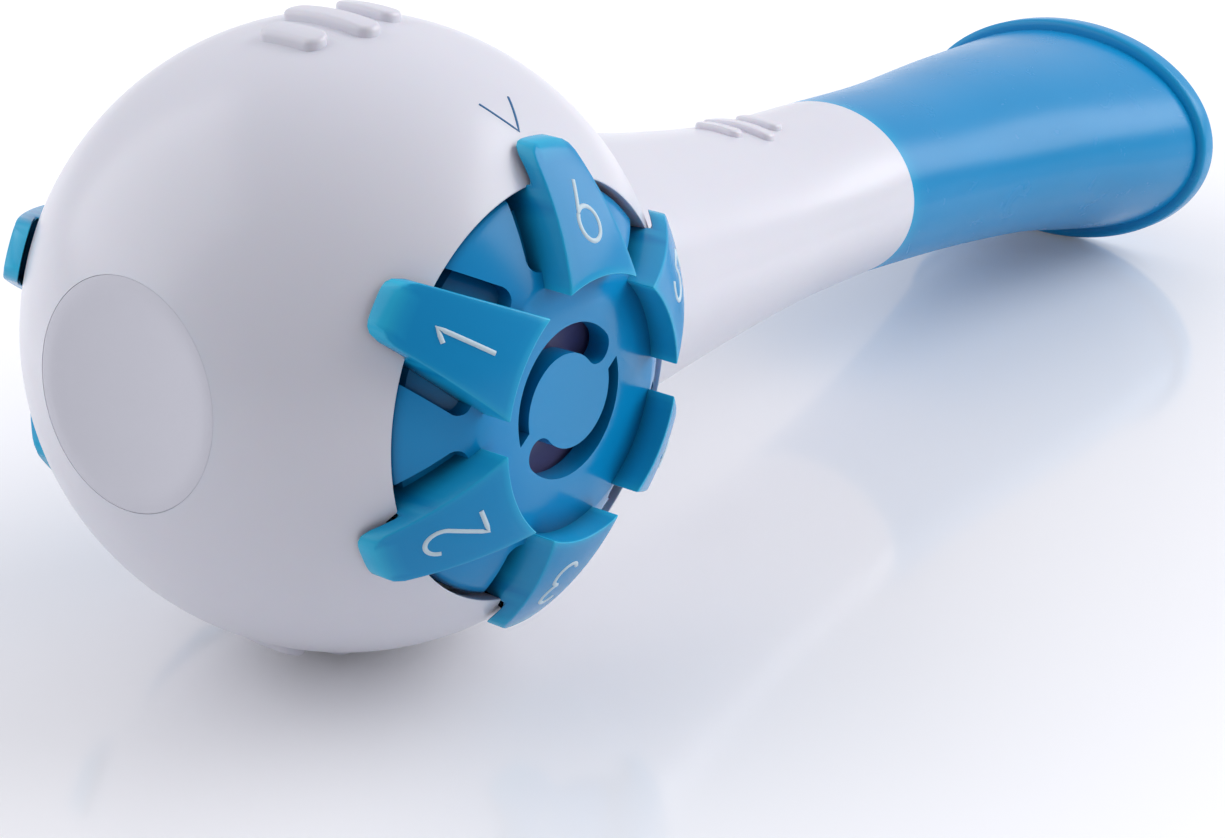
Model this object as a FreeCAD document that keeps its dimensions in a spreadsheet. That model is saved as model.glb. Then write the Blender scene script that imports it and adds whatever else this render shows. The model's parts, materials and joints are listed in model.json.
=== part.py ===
import FreeCAD, Part
import math
import os
import re

# A hand-held breathing trainer: a ball head with two resistance dials, a tube and a mouthpiece.
# The object lies on its side: the ball's lower ribs and the mouthpiece's lip touch the table.
# Pieces are drawn about the ball's centre, with +Y along the tube and +Z up, and are then laid down.

doc = FreeCAD.newDocument("breathing_trainer")
sheet = doc.addObject("Spreadsheet::Sheet", "sizes")

SIZES = [
    ("ball_radius", 30.0, "ball head, outside"),
    ("shell_wall", 2.0, "wall of the two shells"),
    ("hole_radius", 19.45, "round opening for a dial"),
    ("ring_wall", 1.7, "wall of the ring that holds a valve"),
    ("ring_depth", 7.74, "the opening's edge to the ring's inner end"),
    ("groove_lip", 1.25, "groove inside the ring, beyond the opening"),
    ("groove_depth", 6.34, "the opening's edge to the groove's inner side"),
    ("groove_play", 0.05, "pieces in the groove, along the dial axis, per side"),
    ("neck_start", -10.0, "first tube section, hidden in the ball, from the ball's end"),
    ("neck_start_half_width", 18.6, ""),
    ("neck_start_half_height", 15.9, ""),
    ("neck_start_lift", 0.0, ""),
    ("neck_root", 1.5, "tube section where it leaves the ball"),
    ("neck_root_half_width", 17.2, ""),
    ("neck_root_half_height", 14.5, ""),
    ("neck_root_lift", 0.0, ""),
    ("neck_middle", 18.0, "tube section"),
    ("neck_middle_half_width", 15.0, ""),
    ("neck_middle_half_height", 12.2, ""),
    ("neck_middle_lift", 0.0, ""),
    ("neck_waist", 36.0, "tube section"),
    ("neck_waist_half_width", 13.3, ""),
    ("neck_waist_half_height", 10.5, ""),
    ("neck_waist_lift", 0.3, "section centre above the axis"),
    ("tube_end", 53.0, "where the mouthpiece begins"),
    ("tube_end_half_width", 12.6, ""),
    ("tube_end_half_height", 10.3, ""),
    ("tube_end_lift", 0.9, ""),
    ("neck_round", 1.3, "hollow rounding where the tube leaves the ball"),
    ("spigot_half_width", 10.0, "oval spigot of the mouthpiece, outside"),
    ("spigot_half_height", 7.8, ""),
    ("spigot_lift", 0.9, "spigot and socket centre above the axis"),
    ("spigot_length", 13.0, ""),
    ("spigot_wall", 1.5, ""),
    ("spigot_clearance", 0.06, "spigot in its socket, per side"),
    ("socket_extra_depth", 1.0, "socket beyond the spigot's end"),
    ("mouth_throat", 71.0, "mouthpiece section"),
    ("mouth_throat_half_width", 14.2, ""),
    ("mouth_throat_half_height", 10.4, ""),
    ("mouth_throat_lift", 1.0, ""),
    ("mouth_middle", 90.0, "mouthpiece section"),
    ("mouth_middle_half_width", 16.9, ""),
    ("mouth_middle_half_height", 11.3, ""),
    ("mouth_middle_lift", 1.1, ""),
    ("mouth_flare", 105.0, "mouthpiece section"),
    ("mouth_flare_half_width", 19.4, ""),
    ("mouth_flare_half_height", 12.5, ""),
    ("mouth_flare_lift", 0.4, ""),
    ("mouth_wall", 1.8, "wall of the mouthpiece"),
    ("lip_start", 112.4, "where the rim band begins"),
    ("lip_start_half_width", 20.6, "body just under the rim band"),
    ("lip_start_half_height", 13.2, ""),
    ("lip_start_lift", 0.0, ""),
    ("mouth_end", 115.8, "open end of the mouthpiece"),
    ("lip_half_width", 21.6, "rim band, outside"),
    ("lip_half_height", 14.6, ""),
    ("lip_lift", 0.0, ""),
    ("lip_round", 0.8, "rounding of the rim band"),
    ("foot_radius", 10.5, "round end pad opposite the tube"),
    ("foot_thickness", 1.5, ""),
    ("foot_clearance", 0.08, "pad in its pocket, per side"),
    ("foot_land", 1.3, "flat ring round the pad's dish"),
    ("foot_dish_depth", 0.6, ""),
    ("foot_boss_wall", 2.0, "shell material round the pad's pocket"),
    ("rib_height", 0.9, "grip ribs above the ball"),
    ("rib_width", 2.6, ""),
    ("rib_pitch", 4.9, ""),
    ("rib_centre", -3.7, "middle rib along the tube axis"),
    ("rib_long", 10.6, "length of the middle rib"),
    ("rib_short", 7.0, "length of the outer ribs"),
    ("rib_end_round", 1.2, ""),
    ("tube_rib_height", 0.7, "grip ribs above the tube"),
    ("tube_rib_width", 2.0, ""),
    ("tube_rib_pitch", 4.0, ""),
    ("tube_rib_centre", 34.0, "middle rib, from the ball's end"),
    ("tube_rib_long", 9.2, "length of the middle rib"),
    ("tube_rib_short", 5.8, "length of the outer ribs"),
    ("tube_rib_end_round", 0.9, ""),
    ("hub_radius", 12.26, "flat hub in the middle of the dial's dome"),
    ("hub_wall", 2.2, ""),
    ("dome_drop", 0.8, "dial face between the paddles, below the ball's surface"),
    ("dial_gap", 0.45, "dial in its opening, per side"),
    ("dial_pitch_angle", 60.0, "degrees from one setting to the next"),
    ("skirt_wall", 1.4, ""),
    ("skirt_depth", 3.14, "the opening's edge to the skirt's inner edge"),
    ("paddle_rise", 1.9, "outer face of the paddles above the ball's surface"),
    ("paddle_inner_radius", 12.15, "concave inner end of a paddle"),
    ("paddle_overhang", 3.35, "outer end of a paddle beyond the opening"),
    ("paddle_inner_half_width", 4.75, ""),
    ("paddle_outer_half_width", 3.0, ""),
    ("paddle_round", 0.6, "rounding of a paddle's outer face"),
    ("paddle_corner", 1.4, "rounding of a paddle's outer corners"),
    ("paddle_float", 0.5, "paddle tip above the ball"),
    ("channel_width", 1.1, "groove beside a paddle"),
    ("channel_depth", 1.3, "groove below the dial's face"),
    ("channel_corner", 1.0, ""),
    ("notch_width", 1.6, "opening at the outer end of each groove"),
    ("vent_outer_radius", 7.2, "two curved vents in the hub"),
    ("vent_inner_radius", 4.9, ""),
    ("vent_taper", 0.9, "inner edge off centre, so that the vent narrows"),
    ("vent_cap_radius", 1.55, "round end of a vent"),
    ("vent_start_angle", 48.0, "degrees, round end of the first vent"),
    ("vent_sweep", 155.0, "degrees"),
    ("detent_radius", 0.8, "click notches inside the skirt"),
    ("detent_depth", 0.45, ""),
    ("post_radius", 3.0, "dial's centre post"),
    ("post_length", 5.85, "post beyond the cup's outer face"),
    ("shoulder_width", 0.55, "shoulder over the metering disc"),
    ("bearing_clearance", 0.06, "post in its bearing"),
    ("bearing_wall", 1.5, ""),
    ("disc_edge_gap", 1.6, "metering disc inside the cup's outside"),
    ("disc_gap", 0.7, "metering disc under the hub"),
    ("disc_thickness", 0.8, ""),
    ("port_margin", 3.2, "metering holes in from the disc's edge"),
    ("port_smallest_radius", 0.6, ""),
    ("port_radius_step", 0.32, "growth from one hole to the next"),
    ("cup_room", 3.2, "between the skirt and the valve cup"),
    ("cup_wall", 1.2, ""),
    ("cup_gap", 0.4, "metering disc to the cup"),
    ("cup_top_thickness", 1.3, ""),
    ("cup_flange_gap", 0.2, "flange in its groove, per side"),
    ("cup_flange_thickness", 0.9, ""),
    ("window_radius", 2.6, "hole in the valve cup under the metering holes"),
    ("grille_thickness", 1.2, ""),
    ("grille_hole_radius", 2.0, ""),
    ("grille_margin", 4.6, "grille holes in from the chamber's wall"),
    ("seal_thickness", 0.6, ""),
    ("seal_width", 2.6, ""),
    ("flap_edge_gap", 0.5, "valve disc inside the chamber's wall"),
    ("flap_thickness", 0.8, ""),
    ("flap_bore_gap", 0.35, "valve disc round the bearing"),
    ("flap_seat_gap", 0.03, ""),
    ("spring_height", 1.0, "click spring band round the valve cup"),
    ("spring_thickness", 0.35, ""),
    ("spring_bow_angle", 25.0, "degrees, half of a bow"),
    ("spring_nose_radius", 0.5, "rounded nose of a bow"),
    ("spring_nose_gap", 0.1, "nose inside the skirt"),
    ("screw_head_radius", 3.9, ""),
    ("screw_head_height", 2.0, ""),
    ("screw_head_round", 0.5, ""),
    ("screw_play", 0.1, "screw head under the bearing"),
    ("screw_shank_radius", 1.2, ""),
    ("screw_shank_length", 6.0, ""),
    ("screw_clearance", 0.04, ""),
    ("screw_cross_length", 4.4, ""),
    ("screw_cross_width", 0.9, ""),
    ("screw_cross_depth", 1.1, ""),
    ("overcut", 1.0, "cutting solids start this far before a face"),
    ("reach", 60.0, "cutting solids run this far past the object"),
]

ROW_OF = {}
for row, (alias, number, note) in enumerate(SIZES, start=1):
    ROW_OF[alias] = row
    sheet.set("A%d" % row, alias)
    sheet.set("B%d" % row, repr(number))
    sheet.set("C%d" % row, note)
    sheet.setAlias("B%d" % row, alias)
doc.recompute()


def size(alias):
    return float(sheet.get(alias))


def sheet_name(word):
    return "sizes." + word.group() if word.group() in ROW_OF else word.group()


def bind(piece, bindings):
    """Tie properties of a piece to the sheet; names of sizes are written plainly."""
    for prop, text in bindings.items():
        piece.setExpression(prop, re.sub(r"[a-z][a-z_]*", sheet_name, text))
    return piece


X_AXIS = FreeCAD.Vector(1, 0, 0)
Y_AXIS = FreeCAD.Vector(0, 1, 0)
Z_AXIS = FreeCAD.Vector(0, 0, 1)


def cylinder(name, radius, start, end, turn=None, **offsets):
    """A cylinder along its own Z from start to end; turn points it another way."""
    piece = doc.addObject("Part::Cylinder", name)
    bindings = {"Radius": radius, "Height": "(%s) - (%s)" % (end, start)}
    if turn is None:
        bindings["Placement.Base.z"] = start
    else:
        piece.Placement.Rotation = turn[0]
        bindings["Placement.Base." + turn[1]] = start if turn[2] > 0 else "-(%s)" % start
    for axis, text in offsets.items():
        bindings["Placement.Base." + axis] = text
    return bind(piece, bindings)


TOWARD_X = (FreeCAD.Rotation(Y_AXIS, 90), "x", 1)
TOWARD_MINUS_X = (FreeCAD.Rotation(Y_AXIS, -90), "x", -1)
TOWARD_MINUS_Y = (FreeCAD.Rotation(X_AXIS, 90), "y", -1)


def sphere(name, radius, turn=None):
    piece = doc.addObject("Part::Sphere", name)
    if turn is not None:
        piece.Placement.Rotation = turn
    return bind(piece, {"Radius": radius})


def cut(name, base, tool):
    piece = doc.addObject("Part::Cut", name)
    piece.Base = base
    piece.Tool = tool
    return piece


def fuse(name, *pieces):
    piece = doc.addObject("Part::MultiFuse", name)
    piece.Shapes = list(pieces)
    return piece


def common(name, *pieces):
    piece = doc.addObject("Part::MultiCommon", name)
    piece.Shapes = list(pieces)
    return piece


def at(station):
    """A place along the tube axis, from the ball's centre."""
    return size("ball_radius") + size(station)


def oval(name, station, wall=0.0, along=None):
    """An upright ellipse across the tube axis, sized by the station's values in the sheet.

    It starts at the top, so that a loft's seam keeps clear of the plane where the casing parts.
    """
    half_width = size(station + "_half_width") - wall
    half_height = size(station + "_half_height") - wall
    centre = FreeCAD.Vector(0, at(station) if along is None else along, size(station + "_lift"))
    curve = Part.Ellipse(centre + half_width * X_AXIS, centre + half_height * Z_AXIS, centre)
    piece = doc.addObject("Part::Feature", name)
    piece.Shape = curve.toShape(math.pi / 2, math.pi / 2 + 2 * math.pi)
    return piece


def loft(name, *ovals):
    piece = doc.addObject("Part::Loft", name)
    piece.Sections = list(ovals)
    piece.Solid = True
    piece.Ruled = False
    return piece


def oval_bar(name, station, start, end, wall=0.0):
    """A straight bar of oval section along the tube axis."""
    return loft(name, oval(name + "_start", station, wall, start), oval(name + "_end", station, wall, end))


def box(name, corner, lengths):
    piece = doc.addObject("Part::Box", name)
    bindings = dict(zip(("Placement.Base.x", "Placement.Base.y", "Placement.Base.z"), corner))
    bindings.update(zip(("Length", "Width", "Height"), lengths))
    return bind(piece, bindings)


def rounded(name, base, radius, wanted):
    """Round the edges of a piece that the wanted test picks."""
    doc.recompute()
    picked = [number for number, edge in enumerate(base.Shape.Edges, start=1) if wanted(edge)]
    piece = doc.addObject("Part::Fillet", name)
    piece.Base = base
    piece.Edges = [(number, size(radius), size(radius)) for number in picked]
    return piece


def upright(edge):
    return abs(edge.tangentAt(edge.FirstParameter).z) > 0.99


NEAR = 0.01


def spots_along(edge):
    """Three points of an edge, its ends left out."""
    run = edge.LastParameter - edge.FirstParameter
    return [edge.valueAt(edge.FirstParameter + share * run) for share in (0.1, 0.4, 0.7)]


def on_the_ball(edge):
    """True for the edge where the tube leaves the ball."""
    spots = spots_along(edge)
    return (all(abs(spot.Length - size("ball_radius")) < NEAR for spot in spots)
            and min(spot.y for spot in spots) > size("hole_radius"))


# Casing: ball and tube are moulded as two halves that meet on the plane through the tube axis.
# The balls have their poles on the tube axis, where the pad and the tube take them away, and
# their seam is turned away from the plane where the halves meet and from the dial openings.
SEAM_ANGLE = -70
POLES_ALONG_TUBE = FreeCAD.Rotation(Y_AXIS, SEAM_ANGLE).multiply(FreeCAD.Rotation(X_AXIS, 90))
ball = sphere("ball", "ball_radius", POLES_ALONG_TUBE)
TUBE = ("neck_start", "neck_root", "neck_middle", "neck_waist")
wall = size("shell_wall")
socket_start = at("tube_end") - size("spigot_length") - size("socket_extra_depth")
tube = loft("tube", *[oval("tube_" + station, station) for station in TUBE + ("tube_end",)])
head = rounded("head", fuse("ball_and_tube", ball, tube), "neck_round", on_the_ball)
airway = loft("airway", *[oval("airway_" + station, station, wall) for station in TUBE[:3]],
              oval("airway_end", "neck_waist", wall, socket_start))
socket = oval_bar("socket", "spigot", socket_start - size("socket_extra_depth"),
                  at("tube_end") + size("reach"), -size("spigot_clearance"))
hollow = sphere("hollow", "ball_radius - shell_wall", POLES_ALONG_TUBE)
opening_edge = "sqrt(ball_radius ^ 2 - hole_radius ^ 2)"
ring_end = opening_edge + " - ring_depth"
groove_radius = "(hole_radius + groove_lip)"
groove_bottom = "(%s - groove_depth)" % opening_edge
groove_width = "(seal_thickness + grille_thickness + cup_flange_thickness + 2 * groove_play)"
foot_edge = "sqrt(ball_radius ^ 2 - foot_radius ^ 2)"
pocket_floor = foot_edge + " - foot_thickness"
foot_boss = cylinder("foot_boss", "foot_radius + foot_boss_wall", pocket_floor + " - foot_boss_wall",
                     "reach", TOWARD_MINUS_Y)
inner_rings = [foot_boss]
dial_openings = []
for side, turn in (("right", TOWARD_X), ("left", TOWARD_MINUS_X)):
    inner_rings.append(cylinder("ring_" + side, groove_radius + " + ring_wall", ring_end, "reach", turn))
    dial_openings.append(cylinder("hole_" + side, "hole_radius", ring_end + " - overcut", "reach", turn))
    dial_openings.append(cylinder("groove_" + side, groove_radius, groove_bottom,
                                  groove_bottom + " + " + groove_width, turn))
ball_room = cut("ball_room", hollow, fuse("inner_rings", *inner_rings))
foot_pocket = cylinder("foot_pocket", "foot_radius + foot_clearance", pocket_floor, "reach",
                       TOWARD_MINUS_Y)


def ribs(place, kind, middle, surface, crown):
    """Three raised grip ribs across the casing, the middle one longer, above and below."""
    bars = []
    for level, side in ((1, "upper"), (-1, "lower")):
        for offset, length in ((-1, "short"), (0, "long"), (1, "short")):
            name = "%s_%s_rib_%d" % (place, side, offset + 2)
            long, wide = "%srib_%s" % (kind, length), kind + "rib_width"
            centre = "%s + (%d) * %srib_pitch" % (middle, offset, kind)
            bar = box(name + "_bar", ("-%s / 2" % long, "%s - %s / 2" % (centre, wide),
                                      surface if level > 0 else "-(%s) - 2 * shell_wall" % surface),
                      (long, wide, "2 * shell_wall"))
            bars.append(rounded(name + "_ends", bar, kind + "rib_end_round", upright))
    return common(place + "_grips", crown, fuse(place + "_rib_bars", *bars))


ball_ribs = ribs("ball", "", "rib_centre", "ball_radius - shell_wall / 2",
                 sphere("ball_rib_crown", "ball_radius + rib_height", POLES_ALONG_TUBE))
tube_rib_crown = loft("tube_rib_crown", *[oval("rib_crown_" + station, station, -size("tube_rib_height"))
                                          for station in TUBE + ("tube_end",)])
tube_ribs = ribs("tube", "tube_", "ball_radius + tube_rib_centre", "neck_waist_half_height - shell_wall / 2",
                 tube_rib_crown)
casing = fuse("casing_solid", head, ball_ribs, tube_ribs)
for number, opening in enumerate([ball_room, airway, socket, *dial_openings, foot_pocket], start=1):
    casing = cut("casing_open_%d" % number, casing, opening)
upper_side = box("upper_side", ("-reach", "-reach", "0"), ("2 * reach", "4 * reach", "reach"))
lower_side = box("lower_side", ("-reach", "-reach", "-reach"), ("2 * reach", "4 * reach", "reach"))
upper_shell = common("upper_shell", casing, upper_side)
lower_shell = common("lower_shell", casing, lower_side)

# End pad: a round satin disc let into the ball opposite the tube, dished inside a flat ring.
foot_disc = cylinder("foot_disc", "foot_radius", pocket_floor, foot_edge, TOWARD_MINUS_Y)
dish_radius = "(((foot_radius - foot_land) ^ 2 + foot_dish_depth ^ 2) / (2 * foot_dish_depth))"
dish = sphere("dish", dish_radius)
bind(dish, {"Placement.Base.y": "-(%s) + foot_dish_depth - %s" % (foot_edge, dish_radius)})
foot_pad = cut("foot_pad", foot_disc, dish)

# Mouthpiece: an oval tube that widens to the lips, with a rim band outside and a push-in spigot.
MOUTH = ("mouth_throat", "mouth_middle", "mouth_flare")
wall = size("mouth_wall")
mouth_outside = loft("mouth_outside", oval("mouth_outside_root", "tube_end"),
                     *[oval("outside_" + station, station) for station in MOUTH],
                     oval("outside_end", "lip_start", 0.0, at("lip_start") + size("lip_round")))
lip_block = oval_bar("lip_block", "lip", at("lip_start"), at("mouth_end"))
lip = rounded("lip", lip_block, "lip_round", lambda edge: abs(edge.tangentAt(edge.FirstParameter).y) < 0.001)
spigot = oval_bar("spigot_bar", "spigot", at("tube_end") - size("spigot_length"), at("tube_end") + wall)
spigot_bore = oval_bar("spigot_bore", "spigot", at("tube_end") - size("reach"), at("tube_end"),
                       size("spigot_wall"))
mouth_bore = loft("mouth_bore", oval("bore_root", "spigot", size("spigot_wall"), at("tube_end")),
                  *[oval("bore_" + station, station, wall) for station in MOUTH],
                  oval("bore_end", "lip_start", wall, at("mouth_end")))
mouthpiece = fuse("mouth_body", mouth_outside, lip, spigot)
mouthpiece = cut("mouth_open", mouthpiece, mouth_bore)
mouthpiece = cut("mouthpiece", mouthpiece, spigot_bore)


# Dial side: every piece of a dial and its valve turns or sits about the dial axis, drawn here
# as +Z, with +Y toward the ribs. A setting's paddle, metering hole and click notch share one turn.
def turned_copy(name, original, degrees):
    """The same piece again, turned about the dial axis."""
    piece = doc.addObject("App::Link", name)
    piece.LinkedObject = original
    piece.LinkTransform = True
    piece.Placement.Rotation = FreeCAD.Rotation(Z_AXIS, degrees)
    return piece


def all_round(name, original, turns):
    return fuse(name, *[turned_copy("%s_%d" % (name, number), original, degrees)
                        for number, degrees in enumerate(turns, start=1)])


def taper(name, inner, outer, inner_half, outer_half, bottom, top):
    """An upright bar that narrows from the hub to the rim."""
    return bind(doc.addObject("Part::Wedge", name), {
        "Ymin": inner, "Ymax": outer, "Zmin": bottom, "Zmax": top, "Z2min": bottom, "Z2max": top,
        "Xmin": "-(%s)" % inner_half, "Xmax": inner_half,
        "X2min": "-(%s)" % outer_half, "X2max": outer_half})


dial_radius = "(hole_radius - dial_gap)"
dome_radius = "(ball_radius - dome_drop)"
hub_face = "sqrt(%s ^ 2 - hub_radius ^ 2)" % dome_radius
skirt_bottom = "(%s - skirt_depth)" % opening_edge
skirt_inside = "(%s - skirt_wall)" % dial_radius
paddle_end = "(hole_radius + paddle_overhang)"
paddle_root = "(paddle_inner_radius - paddle_inner_half_width / 4)"
disc_bottom = "(%s - hub_wall - disc_gap - disc_thickness)" % hub_face
cup_top = "(%s - cup_gap)" % disc_bottom
cup_radius = "(%s - cup_room)" % skirt_inside
cup_bottom = "(%s + groove_play + seal_thickness + grille_thickness)" % groove_bottom
flange_radius = "(%s - cup_flange_gap)" % groove_radius
flange_top = "(%s + cup_flange_thickness)" % cup_bottom
chamber_radius = "(%s - cup_wall)" % cup_radius
chamber_top = "(%s - cup_top_thickness)" % cup_top
disc_radius = "(%s - disc_edge_gap)" % cup_radius
port_pitch = "(%s - port_margin)" % disc_radius
post_end = "(%s - post_length)" % cup_top
bore_radius = "(post_radius + bearing_clearance)"
bearing_radius = "(%s + bearing_wall)" % bore_radius


def paddle(side):
    """One finger paddle: a tapered bar under a ball-shaped crown, concave toward the hub."""
    name = side + "_paddle"
    bar = common(name + "_bar",
                 taper(name + "_taper", paddle_root + " - paddle_round", paddle_end + " + overcut",
                       "paddle_inner_half_width", "paddle_outer_half_width", skirt_bottom, "reach"),
                 cylinder(name + "_tip", paddle_end, "0", "reach"))
    bar = rounded(name + "_corners", bar, "paddle_corner",
                  lambda edge: upright(edge) and edge.CenterOfMass.y > size("hole_radius"))
    bar = cut(name + "_plan", bar, cylinder(name + "_hollow_end", "paddle_inner_radius", "0", "reach"))
    bar = common(name + "_crowned", bar, sphere(name + "_crown", "ball_radius + paddle_rise"))
    crown = size("ball_radius") + size("paddle_rise")
    bar = rounded(name + "_soft", bar, "paddle_round",
                  lambda edge: all(abs(spot.Length - crown) < NEAR for spot in spots_along(edge)))
    over_ball = cut(name + "_over_ball", sphere(name + "_float", "ball_radius + paddle_float"),
                    cylinder(name + "_inside_hole", dial_radius, "0", "reach"))
    return cut(name, bar, over_ball)


def channel(side):
    """The groove that a paddle stands in, and its opening through the dial's edge."""
    name = side + "_channel"
    plan = taper(name + "_taper", "paddle_inner_radius + channel_corner / 2", "hole_radius + channel_width",
                 "paddle_inner_half_width + channel_width", "paddle_outer_half_width + 2 * channel_width",
                 skirt_bottom + " + channel_depth", "reach")
    plan = rounded(name + "_corners", plan, "channel_corner",
                   lambda edge: upright(edge) and edge.CenterOfMass.y < size("hole_radius"))
    floor = sphere(name + "_floor", dome_radius + " - channel_depth")
    inside = cylinder(name + "_inside", dial_radius + " - notch_width", "0", "reach")
    return cut(name, plan, common(name + "_kept", floor, inside))


def vent(side):
    """A curved vent: wide and round at one end, narrowing to a point at the other."""
    name = side + "_vent"
    below_hub = hub_face + " - 2 * hub_wall"
    ring = cylinder(name + "_outer", "vent_outer_radius", below_hub, "reach")
    bind(ring, {"Angle": "vent_sweep"})
    inner = cylinder(name + "_inner", "vent_inner_radius", "0", "2 * reach",
                     x="vent_taper * cos(vent_sweep)", y="vent_taper * sin(vent_sweep)")
    cap = cylinder(name + "_cap", "vent_cap_radius", below_hub, "reach",
                   x="vent_outer_radius - vent_cap_radius")
    one = fuse(name + "_shape", cut(name + "_arc", ring, inner), cap)
    return all_round(name, one, (size("vent_start_angle"), size("vent_start_angle") + 180))


def dial(side, turns):
    """The dial: a domed cap with a skirt, paddles in grooves, two vents and a post underneath."""
    dome = common(side + "_dome", sphere(side + "_dome_ball", dome_radius),
                  cylinder(side + "_dome_edge", dial_radius, skirt_bottom, hub_face))
    grooves = all_round(side + "_channels", channel(side), turns)
    paddles = all_round(side + "_paddles", paddle(side), turns)
    inside = common(side + "_dial_inside",
                    sphere(side + "_inside_ball", dome_radius + " - hub_wall"),
                    cylinder(side + "_inside_edge", skirt_inside, "0", hub_face + " - hub_wall"))
    detent = cylinder(side + "_detent", "detent_radius", "0",
                      flange_top + " + spring_height + spring_nose_gap",
                      y=skirt_inside + " + detent_depth - detent_radius")
    detents = all_round(side + "_detents", detent, turns)
    cap = fuse(side + "_cap", cut(side + "_grooved", dome, grooves), paddles)
    cap = cut(side + "_cap_open", cap, fuse(side + "_cap_room", inside, detents, vent(side)))
    in_hub = hub_face + " - hub_wall / 2"
    post = fuse(side + "_post_solid", cylinder(side + "_post", "post_radius", post_end, in_hub),
                cylinder(side + "_shoulder", "post_radius + shoulder_width",
                         disc_bottom + " + disc_thickness", in_hub))
    pilot = cylinder(side + "_pilot", "screw_shank_radius + screw_clearance", post_end + " - overcut",
                     post_end + " + screw_shank_length + screw_clearance")
    return cut(side + "_dial", fuse(side + "_dial_solid", cap, post), pilot)


def metering_disc(side, turns):
    """A disc with one hole for each setting, the smallest for the highest number."""
    plate = cylinder(side + "_disc_plate", disc_radius, disc_bottom, disc_bottom + " + disc_thickness")
    holes = [cylinder(side + "_disc_bore", bore_radius, "0", "reach")]
    for number, degrees in enumerate(turns, start=1):
        hole = cylinder("%s_port_%d" % (side, number),
                        "port_smallest_radius + %d * port_radius_step" % (len(turns) - number), "0", "reach",
                        x="-%s * sin(%s)" % (port_pitch, degrees), y="%s * cos(%s)" % (port_pitch, degrees))
        holes.append(hole)
    return cut(side + "_metering_disc", plate, fuse(side + "_ports", *holes))


def valve_cup(side):
    """The fixed cup: a flange held in the casing, a chamber, a window and the dial's bearing."""
    outside = cylinder(side + "_cup_wall", cup_radius, cup_bottom, cup_top)
    flange = cylinder(side + "_cup_flange", flange_radius, cup_bottom, flange_top)
    chamber = cylinder(side + "_chamber", chamber_radius, "0", chamber_top)
    bearing = cylinder(side + "_bearing", bearing_radius, post_end + " + screw_play", cup_top)
    window = cylinder(side + "_window", "window_radius", "0", "reach", y=port_pitch)
    bore = cylinder(side + "_bore", bore_radius, "0", "reach")
    hollow_cup = cut(side + "_cup_hollow", fuse(side + "_cup_solid", outside, flange), chamber)
    return cut(side + "_valve_cup", fuse(side + "_cup_bearing", hollow_cup, bearing),
               fuse(side + "_cup_holes", window, bore))


def valve_grille(side):
    """The perforated plate under the cup, clamped in the same groove."""
    plate = cylinder(side + "_grille_plate", flange_radius, cup_bottom + " - grille_thickness", cup_bottom)
    hole = cylinder(side + "_grille_hole", "grille_hole_radius", "0", "reach",
                    y=chamber_radius + " - grille_margin")
    holes = all_round(side + "_grille_holes", hole, GRILLE_TURNS)
    middle = cylinder(side + "_grille_bore", bearing_radius + " + bearing_clearance", "0", "reach")
    return cut(side + "_valve_grille", plate, fuse(side + "_grille_openings", holes, middle))


def valve_disc(side, against_cup):
    """The loose silicone disc that lets the air through one way only."""
    bottom = cup_bottom + " + flap_seat_gap"
    if against_cup:
        bottom = chamber_top + " - flap_thickness - flap_seat_gap"
    disc = cylinder(side + "_flap", chamber_radius + " - flap_edge_gap", bottom, bottom + " + flap_thickness")
    bore = cylinder(side + "_flap_bore", bearing_radius + " + flap_bore_gap", "0", "reach")
    return cut(side + "_valve_disc", disc, bore)


def cup_seal(side):
    """The flat rubber ring between the grille and the casing's groove."""
    bottom = groove_bottom + " + groove_play"
    ring = cylinder(side + "_seal_outer", flange_radius, bottom, bottom + " + seal_thickness")
    return cut(side + "_cup_seal", ring,
               cylinder(side + "_seal_inner", flange_radius + " - seal_width", "0", "reach"))


def click_spring(side):
    """The band round the cup's foot, with two bows whose noses click into the dial's notches."""
    top = flange_top + " + spring_height"
    band = cylinder(side + "_band", cup_radius + " + spring_thickness", flange_top, top)
    nose_centre = "(%s - spring_nose_gap - spring_nose_radius)" % skirt_inside
    foot_across = "(%s * sin(spring_bow_angle))" % cup_radius
    bow_height = "(%s - %s * cos(spring_bow_angle))" % (nose_centre, cup_radius)
    bow_radius = "((%s ^ 2 + %s ^ 2) / (2 * %s))" % (foot_across, bow_height, bow_height)
    bow_centre = "%s - %s" % (nose_centre, bow_radius)
    leaf = cut(side + "_leaf", cylinder(side + "_bow", bow_radius, flange_top, top, y=bow_centre),
               cylinder(side + "_bow_inside", bow_radius + " - spring_thickness", "0", "reach", y=bow_centre))
    nose = cylinder(side + "_nose", "spring_nose_radius", flange_top, top, y=nose_centre)
    bows = all_round(side + "_bows", fuse(side + "_bow_and_nose", leaf, nose), (0, 180))
    return cut(side + "_click_spring", fuse(side + "_spring_solid", band, bows),
               cylinder(side + "_spring_seat", cup_radius, "0", "reach"))


def dial_screw(side):
    """The pan head screw that keeps the dial on its bearing."""
    head_end = post_end + " - screw_head_height"
    head = cylinder(side + "_head", "screw_head_radius", head_end, post_end)
    doc.recompute()
    outer_face = head.Shape.BoundBox.ZMin
    head_soft = rounded(side + "_head_soft", head, "screw_head_round",
                        lambda edge: edge.BoundBox.ZMax < outer_face + NEAR)
    shank = cylinder(side + "_shank", "screw_shank_radius", head_end + " + screw_head_height / 2",
                     post_end + " + screw_shank_length")
    arms = (("screw_cross_length", "screw_cross_width"), ("screw_cross_width", "screw_cross_length"))
    cross = [box("%s_cross_%d" % (side, number),
                 ("-%s / 2" % along, "-%s / 2" % across, head_end + " - reach"),
                 (along, across, "reach + screw_cross_depth"))
             for number, (along, across) in enumerate(arms, start=1)]
    return cut(side + "_dial_screw", fuse(side + "_screw_solid", head_soft, shank),
               fuse(side + "_cross", *cross))


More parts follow.
